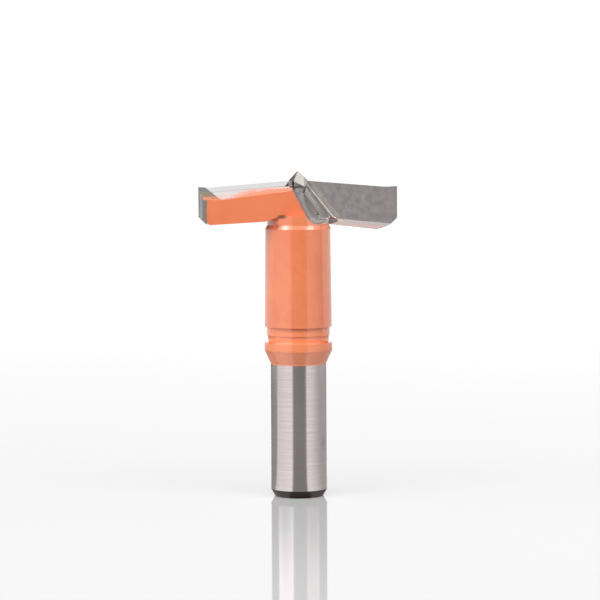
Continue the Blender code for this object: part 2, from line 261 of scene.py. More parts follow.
def apply_modifiers(piece):
    """Write what the modifiers show into the piece's own mesh."""
    bpy.context.view_layer.update()
    shown = piece.evaluated_get(bpy.context.evaluated_depsgraph_get())
    settled = bpy.data.meshes.new_from_object(shown)
    piece.modifiers.clear()
    piece.data = settled


# %% Sort the faces by their finish
SLOTS = [
    "painted_steel", "ground_relief", "gullet", "centre_point", "rim_end", "seat", "screw_hole",
]
SCREW_HOLE_TOP, SCREW_HOLE_REACH = 17.0 * MM, 2.65 * MM
HEAD_LOW = 47.6 * MM
RELIEF_LOW, RELIEF_UP, RELIEF_BACK = 51.0 * MM, 0.88, 0.25
RIM_REACH = 16.9 * MM
TIP_LOW, TIP_UP = 54.0 * MM, 0.97
POINT_LOW, POINT_REACH, POINT_HALF_WIDTH = 54.45 * MM, 3.2 * MM, 2.2 * MM
CORE_LOW, CORE_REACH = 50.5 * MM, 3.0 * MM
SEAT_BACK, SEAT_START, SEAT_OFF = 2.1 * MM, 3.0 * MM, 0.02 * MM
SEAT_SIDE_OUT, SEAT_SIDE_UP = 0.7, (0.5, 0.7)
WING_START = 8.0 * MM
BOSS_TOP, BOSS_REACH, BOSS_OUTWARD = 50.0 * MM, 5.0 * MM, 0.6
FLAT_SIDE_REACH, FLAT_SIDE_Y = 3.6 * MM, 3.0 * MM
# How much of a face's normal lies along an axis
WHOLE, MOSTLY, LITTLE, NONE = 0.99, 0.9, 0.05, 0.01


def finish_of(face):
    """The slot of a face, with the left wing turned onto the right one."""
    middle, normal = face.calc_center_median(), face.normal
    side = 1.0 if middle.y > 0 else -1.0
    x, y = side * middle.x, side * middle.y
    nx, ny, nz = side * normal.x, side * normal.y, normal.z
    reach = sqrt(middle.x ** 2 + middle.y ** 2)
    if middle.z < SCREW_HOLE_TOP and reach < SCREW_HOLE_REACH:
        return "screw_hole"
    if middle.z < HEAD_LOW:
        return "painted_steel"
    if nz > RELIEF_UP and ny > RELIEF_BACK and middle.z > RELIEF_LOW:
        return "ground_relief"
    if reach > RIM_REACH and abs(nz) < LITTLE:
        return "rim_end"
    if nz > TIP_UP and middle.z > TIP_LOW:
        return "centre_point"
    if reach < POINT_REACH and middle.z > POINT_LOW and abs(middle.x) < POINT_HALF_WIDTH:
        return "centre_point"
    if reach < CORE_REACH and middle.z > CORE_LOW:
        return "gullet"
    if abs(y - SEAT_BACK) < SEAT_OFF and ny < -WHOLE and x > SEAT_START:
        return "seat"
    leans_out = nx > SEAT_SIDE_OUT and SEAT_SIDE_UP[0] < nz < SEAT_SIDE_UP[1]
    if leans_out and abs(ny) < NONE and y < SEAT_BACK:
        return "seat"
    if nz < -LITTLE or reach > WING_START:
        return "painted_steel"
    flat_side = (abs(nz) < NONE and abs(ny) > MOSTLY
                 and reach > FLAT_SIDE_REACH and abs(middle.y) > FLAT_SIDE_Y)
    ledge = nz > WHOLE and middle.z < BOSS_TOP
    outward = (middle.x * normal.x + middle.y * normal.y) / reach
    round_side = middle.z < BOSS_TOP and reach > BOSS_REACH and outward > BOSS_OUTWARD
    if flat_side or ledge or round_side:
        return "painted_steel"
    return "gullet"


body_bm = merged_copy("tool_body")
counts = dict.fromkeys(SLOTS, 0)
for face in body_bm.faces:
    finish = finish_of(face)
    face.material_index = SLOTS.index(finish)
    counts[finish] += 1
print("merged body:", len(body_bm.verts), "verts,", len(body_bm.faces), "faces;", counts)

# %% Bevel the sharp edges
EDGE_RADIUS = 0.06 * MM
SHARP = radians(24.0)
SHADED_SHARP = radians(32.0)
FLAT_FACE_WEIGHT = 90

sharp_edges = []
for edge in body_bm.edges:
    if len(edge.link_faces) == 2 and edge.calc_face_angle() > SHARP:
        sharp_edges.append(edge)
bmesh.ops.bevel(
    body_bm, geom=sharp_edges, offset=EDGE_RADIUS, offset_type='OFFSET', segments=2,
    profile=0.5, affect='EDGES', clamp_overlap=True, material=-1,
)
for face in body_bm.faces:
    face.smooth = True
body_piece = finished_piece("finished_body", body_bm)
body_piece.data.set_sharp_from_angle(angle=SHADED_SHARP)
flat = body_piece.modifiers.new("flat_faces_first", 'WEIGHTED_NORMAL')
flat.mode = 'FACE_AREA'
flat.weight = FLAT_FACE_WEIGHT
flat.keep_sharp = True
apply_modifiers(body_piece)
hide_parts("tool_body")
print("bevelled body:", len(body_piece.data.polygons), "faces")

# %% [markdown]
# ## Enamel and the bare shank
# The head, the neck and the collar carry a thick orange enamel: colour below, a clear gloss on top,
# and a very faint orange peel. The shank below the collar was masked, so the enamel ends there in a
# slightly ragged line, and the grinding of the rim takes it off the end of each wing too. On the
# bare shank the steel is ground round and round, which a noise squeezed along Z shows, and the
# chamfer at its end is painted nearly black, a painted shade for the shadowed floor close by that it
# mirrors. One material holds all of it, since the mask between paint and steel comes from a height
# and a reach, and each input is a mix by that mask.

# %% Mask between paint and steel
PAINT_LINE = 23.45 * MM
RAGGED = 0.3 * MM
RAGGED_SCALE = 1100.0
PAINT_FADE = (PAINT_LINE + 0.12 * MM, PAINT_LINE + 0.19 * MM)
GROUND_END_FADE = (16.02 * MM, 15.86 * MM)

painted, tree, shader = new_material("painted_steel")
vector, px, py, pz = object_point(tree)
ragged = times(tree, noise(tree, vector, RAGGED_SCALE, 3.0), RAGGED)
above_shank = ramp(tree, plus(tree, pz, ragged), *PAINT_FADE)
inside_rim = ramp(tree, plus(tree, maths(tree, 'ABSOLUTE', px), ragged), *GROUND_END_FADE)
paint = times(tree, above_shank, inside_rim)
bare = minus(tree, 1.0, paint)
wire(tree, bare, shader.inputs["Metallic"])
print("enamel ends", PAINT_LINE / MM, "mm above the shank's end")

# %% Steel where the paint ends
SHANK_STEEL = (0.65, 0.585, 0.58)
SHANK_STEEL_DARK = (0.60, 0.54, 0.535)
SCUFFED_STEEL = (0.30, 0.28, 0.28)
CHAMFER_PAINTED_SHADE = (0.068, 0.053, 0.050)
HEAD_STEEL = (0.37, 0.30, 0.26)
RINGS = (120.0, 120.0, 7000.0)
SCRATCHES = (5000.0, 5000.0, 900.0)
SCUFF_CENTRE = (4.5 * MM, -2.1 * MM, 9.8 * MM)
SCUFF_RADIUS, SCUFF_SOFT, SCUFF_STRENGTH = 2.0 * MM, 1.4 * MM, 0.5
CHAMFER_LINE = 1.32 * MM
CHAMFER_SOFT = 0.03 * MM
HEAD_FADE = (40.0 * MM, 41.0 * MM)


def spot(tree, vector, centre, radius, soft):
    """One inside a ball around a point, zero outside it."""
    node = tree.nodes.new("ShaderNodeVectorMath")
    node.operation = 'DISTANCE'
    tree.links.new(vector, node.inputs[0])
    node.inputs[1].default_value = centre
    return ramp(tree, node.outputs["Value"], radius, radius - soft)


rings = noise(tree, vector, 1.0, 3.0, RINGS)
scuff = times(tree, spot(tree, vector, SCUFF_CENTRE, SCUFF_RADIUS, SCUFF_SOFT),
              speckle(tree, vector, 1.0, stretch=SCRATCHES))
# Painted shade: the chamfer at the shank's end is painted nearly black, for the shadowed floor it
# mirrors
chamfer_shade = ramp(tree, pz, CHAMFER_LINE + CHAMFER_SOFT, CHAMFER_LINE - CHAMFER_SOFT)
head = ramp(tree, pz, *HEAD_FADE)
steel = colour_mix(tree, contrast(tree, rings), SHANK_STEEL, SHANK_STEEL_DARK)
steel = colour_mix(tree, times(tree, scuff, SCUFF_STRENGTH), steel, SCUFFED_STEEL)
steel = colour_mix(tree, chamfer_shade, steel, CHAMFER_PAINTED_SHADE)
steel = colour_mix(tree, head, steel, HEAD_STEEL)
print("rings every", round(1.0 / RINGS[2] / MM, 2), "mm or so")

# %% [markdown]
# The enamel isn't the same orange everywhere. A painted shade darkens the nook between the left wing
# and the boss and a little below it, and a painted light brightens the groove and the collar, whose
# faces look down. The back of the bit repeats the front by a half turn, so a place at the back is
# first turned onto the front.

# %% Colour of the enamel
ENAMEL = (0.82, 0.205, 0.08)
ENAMEL_LIGHT = (0.86, 0.235, 0.095)
ENAMEL_PAINTED_LIGHT = (0.98, 0.27, 0.10)
ENAMEL_PAINTED_SHADE = (0.14, 0.035, 0.015)
ENAMEL_CLOUDS = 260.0
NOOK_SQUEEZE = 2.2
NOOK_CENTRE = (-2.75 * MM, 0.0, 49.55 * NOOK_SQUEEZE * MM)
NOOK_RADIUS, NOOK_SOFT, NOOK_STRENGTH = 1.15 * MM, 0.9 * MM, 0.95
SHADE_CENTRE = (-4.1 * MM, 0.0, 47.75 * NOOK_SQUEEZE * MM)
SHADE_RADIUS, SHADE_SOFT, SHADE_STRENGTH = 1.7 * MM, 1.2 * MM, 0.55
GROOVE, GROOVE_LIGHT_STRENGTH = (25.6 * MM, 26.6 * MM, 29.6 * MM, 30.4 * MM), 0.75
COLLAR_LIGHT_FADE = (26.0 * MM, 25.6 * MM, 0.0, 0.6)


def front_gullet(tree, px, py):
    """X and Y after the back half of the bit has been turned onto the front half."""
    side = maths(tree, 'SIGN', minus(tree, px, py))
    return times(tree, px, side), times(tree, py, side)


def through_point(tree, x, z):
    """A point made of X and Z alone, so that a pattern runs straight through along Y."""
    node = tree.nodes.new("ShaderNodeCombineXYZ")
    wire(tree, x, node.inputs[0])
    wire(tree, z, node.inputs[2])
    return node.outputs[0]


gx, _ = front_gullet(tree, px, py)
squeezed = through_point(tree, gx, times(tree, pz, NOOK_SQUEEZE))
# Painted shade: the nook between the left wing and the boss, and a patch a little below it, are
# darkened
nook = spot(tree, squeezed, NOOK_CENTRE, NOOK_RADIUS, NOOK_SOFT)
shade = spot(tree, squeezed, SHADE_CENTRE, SHADE_RADIUS, SHADE_SOFT)
painted_shade = larger(tree, times(tree, nook, NOOK_STRENGTH), times(tree, shade, SHADE_STRENGTH))
# Painted light: the groove and the collar look down and are painted lighter
painted_light = larger(tree, times(tree, between(tree, pz, *GROOVE), GROOVE_LIGHT_STRENGTH),
                 ramp(tree, pz, *COLLAR_LIGHT_FADE))
orange = colour_mix(tree, speckle(tree, vector, ENAMEL_CLOUDS), ENAMEL, ENAMEL_LIGHT)
orange = colour_mix(tree, painted_shade, orange, ENAMEL_PAINTED_SHADE)
orange = colour_mix(tree, painted_light, orange, ENAMEL_PAINTED_LIGHT)
wire(tree, colour_mix(tree, paint, steel, orange), shader.inputs["Base Color"])
print("groove from", GROOVE[0] / MM, "to", GROOVE[3] / MM, "mm")

# %% Gloss and relief of the enamel
ENAMEL_ROUGHNESS = 0.42
SHANK_ROUGHNESS = (0.13, 0.19)
CHAMFER_ROUGHER, HEAD_ROUGHER = 0.34, 0.4
COAT_ROUGHNESS, COAT_IOR = 0.08, 1.7
SHADE_DULLS_COAT = 0.9
PEEL_SCALE = 700.0
RIDGED = (26.2 * MM, 26.6 * MM, 29.8 * MM, 30.2 * MM)
RIDGES = (60.0, 60.0, 3800.0)
RINGS_HEIGHT, RIDGES_HEIGHT = 0.12, 4.0
RELIEF_STRENGTH, RELIEF_HEIGHT = 0.35, 0.02 * MM

steel_gloss = plus(tree, contrast(tree, rings, *SHANK_ROUGHNESS), times(tree, chamfer_shade, CHAMFER_ROUGHER))
steel_gloss = plus(tree, steel_gloss, times(tree, head, HEAD_ROUGHER))
roughness = plus(tree, times(tree, steel_gloss, bare), times(tree, paint, ENAMEL_ROUGHNESS))
wire(tree, roughness, shader.inputs["Roughness"])
coat = maths(tree, 'SUBTRACT', paint, times(tree, painted_shade, SHADE_DULLS_COAT), clamp=True)
wire(tree, coat, shader.inputs["Coat Weight"])
shader.inputs["Coat Roughness"].default_value = COAT_ROUGHNESS
shader.inputs["Coat IOR"].default_value = COAT_IOR
peel = times(tree, noise(tree, vector, PEEL_SCALE, 1.0), paint)
ridges = times(tree, noise(tree, vector, 1.0, 2.0, RIDGES), between(tree, pz, *RIDGED))
height = plus(tree, peel, times(tree, rings, RINGS_HEIGHT))
height = plus(tree, height, times(tree, ridges, RIDGES_HEIGHT))
bump(tree, shader, height, RELIEF_STRENGTH, RELIEF_HEIGHT)
print("nodes in the painted steel:", len(tree.nodes))

# %% [markdown]
# ## Bare steel
# The head was painted first and ground afterwards, so the reliefs on top, the gullets, the centre
# point and the ends of the wings are bright metal. They share one recipe: a metal colour, faint
# grinding lines along one direction and a roughness that follows them.

# %% A recipe for ground steel
def ground_steel(name, light, dark, roughness, lines, line_height=0.006 * MM):
    """Metal with grinding lines; lines holds the stretch of the noise along X, Y and Z."""
    mat, tree, shader = new_material(name)
    vector = object_point(tree)[0]
    marks = noise(tree, vector, 1.0, 4.0, lines)
    colour = colour_mix(tree, contrast(tree, marks), light, dark)
    wire(tree, colour, shader.inputs["Base Color"])
    shader.inputs["Metallic"].default_value = 1.0
    uneven = ramp(tree, marks, 0.25, 0.75, roughness * 0.85, roughness * 1.2)
    wire(tree, uneven, shader.inputs["Roughness"])
    bump(tree, shader, marks, 0.4, line_height)
    return mat, tree, shader, colour, marks


# %% [markdown]
# Two lines cross the ground faces. The ridge is the inner edge of a plate, where the gullet's wheel
# stopped, and it leans outwards as it goes down. The spur line is where the relief's wheel stopped,
# short of the spur at the rim. The steel past it is painted dark, a painted reflection of darker
# surroundings that this tilted face mirrors, with a painted shadow along the valley and enamel in
# shade, brownish, towards the back. Along the back of the relief the enamel creeps over the edge, in
# a ragged tongue and in a few thin streaks.

# %% Lines that the grinding wheels leave
RIDGE_SLOPE = 1.0 / tan(radians(51.5))
RIDGE_X, RIDGE_Z = 1.78 * MM, 55.4 * MM
SPUR_LINE_X = 16.28 * MM
SPUR_LINE_SLOPE = -0.533
LINE_SOFT = 0.05 * MM


def behind_ridge(tree, along, pz):
    """Distance outwards from the inner edge of a plate."""
    ridge_x = plus(tree, times(tree, pz, -RIDGE_SLOPE), RIDGE_X + RIDGE_Z * RIDGE_SLOPE)
    return minus(tree, along, ridge_x)


def past_spur_line(tree, along, back):
    """Distance outwards from the line where the wheel stopped, short of the spur."""
    line = plus(tree, times(tree, back, SPUR_LINE_SLOPE), SPUR_LINE_X)
    return minus(tree, along, line)


print("ridge starts", RIDGE_X / MM, "mm beside the axis, spur line", SPUR_LINE_X / MM, "mm")

# %% Enamel that creeps over the relief
FLANK_SLOPE = tan(radians(5.7))
FLANK_Y = 4.3 * MM
CREPT_ENAMEL = (0.74, 0.18, 0.07)
CREEP_FADE = (7.0 * MM, 12.2 * MM, 1.45 * MM, -0.1 * MM)
CREEP_WOBBLE = 2.3 * MM
CREEP_NOISE = (560.0, 900.0, 560.0)
STREAK_NOISE = (330.0, 1300.0, 330.0)
CREEP_EDGE = (-0.03 * MM, 0.05 * MM)
STREAK_FADE, STREAK_CUT = (-3.4 * MM, -0.4 * MM), (0.37, 0.52)
STREAK_STRENGTH = 0.8
CREPT_COAT, CREPT_COAT_ROUGHNESS = 0.3, 0.2


def creeping_enamel(tree, shader, steel, vector, px, py):
    """Cover the back of a relief with enamel, as far as it has crept over the edge."""
    along = times(tree, px, maths(tree, 'SIGN', py))
    flank = plus(tree, times(tree, along, FLANK_SLOPE), FLANK_Y)
    inset = minus(tree, flank, maths(tree, 'ABSOLUTE', py))
    reach = ramp(tree, along, *CREEP_FADE)
    centred = minus(tree, noise(tree, vector, 1.0, 4.0, CREEP_NOISE), 0.5)
    over = minus(tree, plus(tree, reach, times(tree, centred, CREEP_WOBBLE)), inset)
    solid = ramp(tree, over, *CREEP_EDGE)
    thin = times(tree, ramp(tree, over, *STREAK_FADE),
                 ramp(tree, noise(tree, vector, 1.0, 4.0, STREAK_NOISE), *STREAK_CUT))
    cover = larger(tree, solid, times(tree, thin, STREAK_STRENGTH))
    wire(tree, colour_mix(tree, cover, steel, CREPT_ENAMEL), shader.inputs["Base Color"])
    wire(tree, minus(tree, 1.0, cover), shader.inputs["Metallic"])
    wire(tree, times(tree, solid, CREPT_COAT), shader.inputs["Coat Weight"])
    shader.inputs["Coat Roughness"].default_value = CREPT_COAT_ROUGHNESS


# %% Reliefs
SPUR_SHADE_FRONT = (0.24, 0.19, 0.11)
SPUR_ENAMEL_IN_SHADE = (0.36, 0.16, 0.06)
SPUR_VALLEY_SHADOW = (0.15, 0.14, 0.135)
SPUR_SHADE_FADE = (3.4 * MM, 5.4 * MM)
VALLEY_SHADOW_FADE = (0.28 * MM, 0.42 * MM)

relief, tree, shader, steel, _ = ground_steel(
    "ground_relief_steel", light=(0.80, 0.78, 0.775), dark=(0.74, 0.72, 0.72), roughness=0.24,
    lines=(60.0, 2600.0, 60.0))
vector, px, py, _ = object_point(tree)
gx, gy = front_gullet(tree, px, py)
past = past_spur_line(tree, gx, gy)
# Past the spur line: painted dark reflection, painted shadow along the valley, enamel in shade at
# the back
spur_shade = colour_mix(tree, ramp(tree, gy, *SPUR_SHADE_FADE), SPUR_SHADE_FRONT, SPUR_ENAMEL_IN_SHADE)
spur_shade = colour_mix(tree, ramp(tree, past, *VALLEY_SHADOW_FADE), SPUR_VALLEY_SHADOW, spur_shade)
steel = colour_mix(tree, ramp(tree, past, -LINE_SOFT, LINE_SOFT), steel, spur_shade)
creeping_enamel(tree, shader, steel, vector, px, py)
print("nodes in the relief:", len(tree.nodes))

# %% [markdown]
# A gullet is a bowl that the wheel swept out of the neck. Its floor is dull and its edge curves away
# from the centre as it goes down. Lighter strips across the bowl are painted reflections of the soft
# boxes in its curved wall, and a painted highlight runs along the land beside the ridge. Outside the
# bowl lies the flat of the web, painted paler as a painted reflection, and the foot under the centre
# point is painted darker as painted shade.

# %% Gullets
BOWL_TOP_MM, BOWL_START_MM = 53.5, 1.02
BOWL_POWER, BOWL_SPREAD = 1.9, 0.115
BOWL_FLOOR = (48.68 * MM, 48.86 * MM)
BOWL_DARK, BOWL_PAINTED_REFLECTION = (0.165, 0.152, 0.143), (0.335, 0.312, 0.295)
BOWL_EDGE_SOFT = (-0.45, 0.25)
BOWL_LINES, BOWL_LINES_STRENGTH = (0.30, 0.28, 0.27), 0.15
REFLECTION_NEAR, REFLECTION_FAR = (-2.3 * MM, -1.3 * MM), (-2.5 * MM, -3.6 * MM, 0.0, 0.5)
REFLECTION_END = (-1.15 * MM, -1.0 * MM, 1.0, 0.6)
LAND_EDGE_REFLECTION, LAND_PAINTED_HIGHLIGHT = (0.46, 0.43, 0.41), (0.94, 0.87, 0.80)
LAND_EDGE_REFLECTION_FADE, LAND_HIGHLIGHT_FADE = (-1.15 * MM, -0.95 * MM), (-0.58 * MM, -0.42 * MM)
LAND_HIGHLIGHT_METALLIC = 0.70
WEB_REFLECTION_LOW, WEB_REFLECTION_HIGH = (0.47, 0.445, 0.458), (0.74, 0.69, 0.70)
WEB_REFLECTION_FADE = (53.2 * MM, 54.2 * MM)
FOOT_PAINTED_SHADE = (0.26, 0.24, 0.245)
FOOT_UP, FOOT_OUT = (54.40 * MM, 54.50 * MM), (1.10 * MM, 1.0 * MM)

gullet, tree, shader, _, marks = ground_steel(
    "gullet_steel", light=(0.23, 0.215, 0.205), dark=(0.20, 0.187, 0.178), roughness=0.42,
    lines=(500.0, 500.0, 2600.0), line_height=0.0015 * MM)
_, px, py, pz = object_point(tree)
gx, _ = front_gullet(tree, px, py)
depth = larger(tree, minus(tree, BOWL_TOP_MM, times(tree, pz, 1.0 / MM)), 0.0)
bowl_edge = times(tree, maths(tree, 'POWER', depth, BOWL_POWER), BOWL_SPREAD)
bowl_edge = plus(tree, bowl_edge, BOWL_START_MM)
inside = minus(tree, times(tree, gx, 1.0 / MM), bowl_edge)
bowl = times(tree, ramp(tree, inside, *BOWL_EDGE_SOFT), ramp(tree, pz, *BOWL_FLOOR))
beside = behind_ridge(tree, gx, pz)
# Painted reflection: lighter and darker strips across the bowl for what its curved wall mirrors
bowl_reflection = larger(tree, ramp(tree, beside, *REFLECTION_NEAR), ramp(tree, beside, *REFLECTION_FAR))
bowl_reflection = times(tree, bowl_reflection, ramp(tree, beside, *REFLECTION_END))
# Painted highlight: the land beside the ridge, where an edge catches the light
land_highlight = ramp(tree, beside, *LAND_HIGHLIGHT_FADE)
swept = colour_mix(tree, bowl_reflection, BOWL_DARK, BOWL_PAINTED_REFLECTION)
lines = times(tree, contrast(tree, marks), BOWL_LINES_STRENGTH)
swept = colour_mix(tree, lines, swept, BOWL_LINES)
swept = colour_mix(tree, ramp(tree, beside, *LAND_EDGE_REFLECTION_FADE), swept, LAND_EDGE_REFLECTION)
swept = colour_mix(tree, land_highlight, swept, LAND_PAINTED_HIGHLIGHT)
# Painted reflection: the web is painted paler for the light this flat mirrors, more so higher up
web_reflection = colour_mix(tree, ramp(tree, pz, *WEB_REFLECTION_FADE), WEB_REFLECTION_LOW, WEB_REFLECTION_HIGH)
# Painted shade: the foot under the centre point is darkened
foot_shade = times(tree, ramp(tree, pz, *FOOT_UP), ramp(tree, gx, *FOOT_OUT))
colour = colour_mix(tree, foot_shade, colour_mix(tree, bowl, web_reflection, swept), FOOT_PAINTED_SHADE)
wire(tree, colour, shader.inputs["Base Color"])
metallic = value_mix(tree, times(tree, land_highlight, bowl), 1.0, LAND_HIGHLIGHT_METALLIC)
wire(tree, metallic, shader.inputs["Metallic"])
print("nodes in the gullet:", len(tree.nodes))

# %% [markdown]
# The centre point starts each hole, so it is ground into small facets. The facet on the left is
# painted bright as a painted highlight, the strip on the right is painted darker as painted shade,
# and below a slanting line the undercut, which looks down, is painted dark as painted shade.

# %% Centre point
POINT_PAINTED_HIGHLIGHT = (0.92, 0.90, 0.90)
POINT_PAINTED_SHADE = (0.0, 0.0, 0.0)
HEEL_SLOPE, HEEL_Z = -0.461, 55.26 * MM
HEEL_SOFT = 0.04 * MM
HEEL_IN, HEEL_OUT = (-1.5 * MM, -1.3 * MM), (1.15 * MM, 1.05 * MM, 0.0, 0.55)
POINT_HIGHLIGHT_FADE = (-1.3 * MM, -1.5 * MM)
RIGHT_STRIP_SHADE_FADE = (1.10 * MM, 1.18 * MM, 0.0, 0.4)

point, tree, shader, steel, _ = ground_steel(
    "centre_point_steel", light=(0.46, 0.425, 0.395), dark=(0.435, 0.40, 0.37), roughness=0.32,
    lines=(1800.0, 1800.0, 300.0), line_height=0.0005 * MM)
_, px, py, pz = object_point(tree)
gx, _ = front_gullet(tree, px, py)
# Painted shade: the strip on the right and the downward-looking undercut are darkened towards black
right_strip_shade = ramp(tree, gx, *RIGHT_STRIP_SHADE_FADE)
above_heel = minus(tree, pz, plus(tree, times(tree, gx, HEEL_SLOPE), HEEL_Z))
undercut_shade = times(tree, ramp(tree, above_heel, HEEL_SOFT, -HEEL_SOFT), ramp(tree, gx, *HEEL_IN))
undercut_shade = times(tree, undercut_shade, ramp(tree, gx, *HEEL_OUT))
# Painted highlight: the left facet is painted lighter
steel = colour_mix(tree, ramp(tree, gx, *POINT_HIGHLIGHT_FADE), steel, POINT_PAINTED_HIGHLIGHT)
colour = colour_mix(tree, larger(tree, right_strip_shade, undercut_shade), steel, POINT_PAINTED_SHADE)
wire(tree, colour, shader.inputs["Base Color"])
print("nodes in the centre point:", len(tree.nodes))

# %% Rim ends, seats and screw hole
rim = ground_steel("rim_end_steel", light=(0.30, 0.31, 0.295), dark=(0.24, 0.25, 0.24),
                   roughness=0.35, lines=(200.0, 2500.0, 200.0))[0]
seat = ground_steel("seat_steel", light=(0.45, 0.42, 0.38), dark=(0.35, 0.32, 0.28),
                    roughness=0.45, lines=(900.0, 900.0, 900.0))[0]
hole = ground_steel("screw_hole_steel", light=(0.16, 0.15, 0.145), dark=(0.10, 0.095, 0.09),
                    roughness=0.45, lines=(300.0, 300.0, 5000.0))[0]
for mat in (painted, relief, gullet, point, rim, seat, hole):
    body_piece.data.materials.append(mat)
print("body finishes:", [slot.material.name for slot in body_piece.material_slots])

# %% [markdown]
# ## Carbide plates
# A carbide plate is a sintered grey metal, darker and warmer than steel. Its face is ground too, but
# the grit is finer, so it looks mottled and satin rather than lined. A narrow painted highlight
# follows the ridge, where a thin land catches the light, and past it the heat of the brazing has
# left a brownish tint that fades outwards. The narrow top is lighter, and past the spur line it is
# painted dark, the same painted reflection of darker surroundings as on the relief beside it. The
# plates keep their own edges, because a cutting edge is sharp.

# %% Carbide
CARBIDE, CARBIDE_DARK, CARBIDE_CLOUD = (0.64, 0.575, 0.585), (0.57, 0.51, 0.52), (0.53, 0.475, 0.485)
CARBIDE_TINT, CARBIDE_PAINTED_HIGHLIGHT = (0.68, 0.585, 0.53), (0.86, 0.755, 0.69)
CARBIDE_TOP, CARBIDE_SPUR_SHADE = (0.70, 0.69, 0.70), (0.16, 0.15, 0.15)
MOTTLE_SCALE, CLOUD_SCALE, CLOUD_STRENGTH = 1500.0, 420.0, 0.2
TINT_FADE, TINT_STREAKS, TINT_STRENGTH = (2.8 * MM, 0.9 * MM), (0.3, 0.9), 0.7
RIDGE_HIGHLIGHT_FADE, RIDGE_HIGHLIGHT_STREAKS = (1.05 * MM, 0.85 * MM), (0.2, 1.0)
TOP_FADE, TOP_SMOOTHER = (0.3, 0.6), (1.0, 0.5)
SATIN_SCALE, SATIN = 900.0, (0.38, 0.44)
MOTTLE_STRENGTH, MOTTLE_HEIGHT = 0.3, 0.006 * MM
RIDGE_STREAKS = (3600.0, 1.0, 420.0)


def normal_z(tree):
    """How far a face looks up, from minus one to one."""
    coord = tree.nodes.new("ShaderNodeTexCoord")
    split = tree.nodes.new("ShaderNodeSeparateXYZ")
    tree.links.new(coord.outputs["Normal"], split.inputs[0])
    return split.outputs[2]


carbide, tree, shader = new_material("ground_carbide")
vector, px, py, pz = object_point(tree)
gx, gy = front_gullet(tree, px, py)
beside = behind_ridge(tree, gx, pz)
past = past_spur_line(tree, gx, gy)
mottle = speckle(tree, vector, MOTTLE_SCALE)
cloud = times(tree, speckle(tree, vector, CLOUD_SCALE), CLOUD_STRENGTH)
streaks = speckle(tree, through_point(tree, beside, pz), 1.0, stretch=RIDGE_STREAKS)
tint = times(tree, ramp(tree, beside, *TINT_FADE), value_mix(tree, streaks, *TINT_STREAKS))
# Painted highlight: a narrow light band along the ridge
ridge_highlight = times(tree, ramp(tree, beside, *RIDGE_HIGHLIGHT_FADE), value_mix(tree, streaks, *RIDGE_HIGHLIGHT_STREAKS))
grey = colour_mix(tree, mottle, CARBIDE, CARBIDE_DARK)
grey = colour_mix(tree, cloud, grey, CARBIDE_CLOUD)
grey = colour_mix(tree, times(tree, tint, TINT_STRENGTH), grey, CARBIDE_TINT)
grey = colour_mix(tree, ridge_highlight, grey, CARBIDE_PAINTED_HIGHLIGHT)
# Painted reflection: the top past the spur line is painted dark for the darker surroundings it
# mirrors
top_grey = colour_mix(tree, ramp(tree, past, -LINE_SOFT, LINE_SOFT), CARBIDE_TOP, CARBIDE_SPUR_SHADE)
up = normal_z(tree)
colour = colour_mix(tree, ramp(tree, up, *TOP_FADE), grey, top_grey)
wire(tree, colour, shader.inputs["Base Color"])
shader.inputs["Metallic"].default_value = 1.0
satin = speckle(tree, vector, SATIN_SCALE, *SATIN)
satin = times(tree, satin, ramp(tree, up, *TOP_FADE, *TOP_SMOOTHER))
wire(tree, satin, shader.inputs["Roughness"])
bump(tree, shader, mottle, MOTTLE_STRENGTH, MOTTLE_HEIGHT)
for name in ("carbide_plate_right", "carbide_plate_left"):
    node = frame["nodes"][name]
    node.data.materials.clear()
    node.data.materials.append(carbide)
print("carbide on both plates")

# %% [markdown]
# ## Braze seams
# Each plate sits in a seat that is a tenth of a millimetre wider than itself, and the braze fills
# that gap. The walls of the seat are copied from the body and given a thickness towards the plate,
# so the seam follows the body's own outline on top, below and behind.

# %% Fill the gap behind and beside each plate
SEAM = 0.088 * MM


def braze_seam(name, side):
    """A thin layer on the walls of the seat on one side of the bit."""
    bm = merged_copy("tool_body")
    others = []
    for face in bm.faces:
        in_seat = finish_of(face) == "seat" and side * face.calc_center_median().y > 0
        if not in_seat:
            others.append(face)
    bmesh.ops.delete(bm, geom=others, context='FACES')
    bmesh.ops.solidify(bm, geom=bm.faces, thickness=-SEAM)
    bmesh.ops.recalc_face_normals(bm, faces=bm.faces)
    print(name, len(bm.faces), "faces")
    return finished_piece(name, bm)


braze = ground_steel("silver_braze", light=(0.78, 0.66, 0.48), dark=(0.62, 0.50, 0.36),
                     roughness=0.30, lines=(1500.0, 1500.0, 1500.0))[0]
for name, side in (("braze_seam_right", 1.0), ("braze_seam_left", -1.0)):
    braze_seam(name, side).data.materials.append(braze)

# %% [markdown]
# ## Length stop screw
# The screw in the shank's end is turned in or out to set the bit's working length. The node is a
# plain cylinder with a hex socket. Its thread is a short zigzag spun along a helix, cut flat at
# both ends, and then kept only where it lies inside the node's own solid, which leaves the chamfers
# and the socket as they are.

# %% Cut the thread
PITCH = 0.8 * MM
CREST = 2.52 * MM
ROOT = 2.1 * MM
STEPS = 24
TURNS = 16
THREAD_LOW, THREAD_HIGH = 0.2 * MM, 11.0 * MM

thread = bmesh.new()
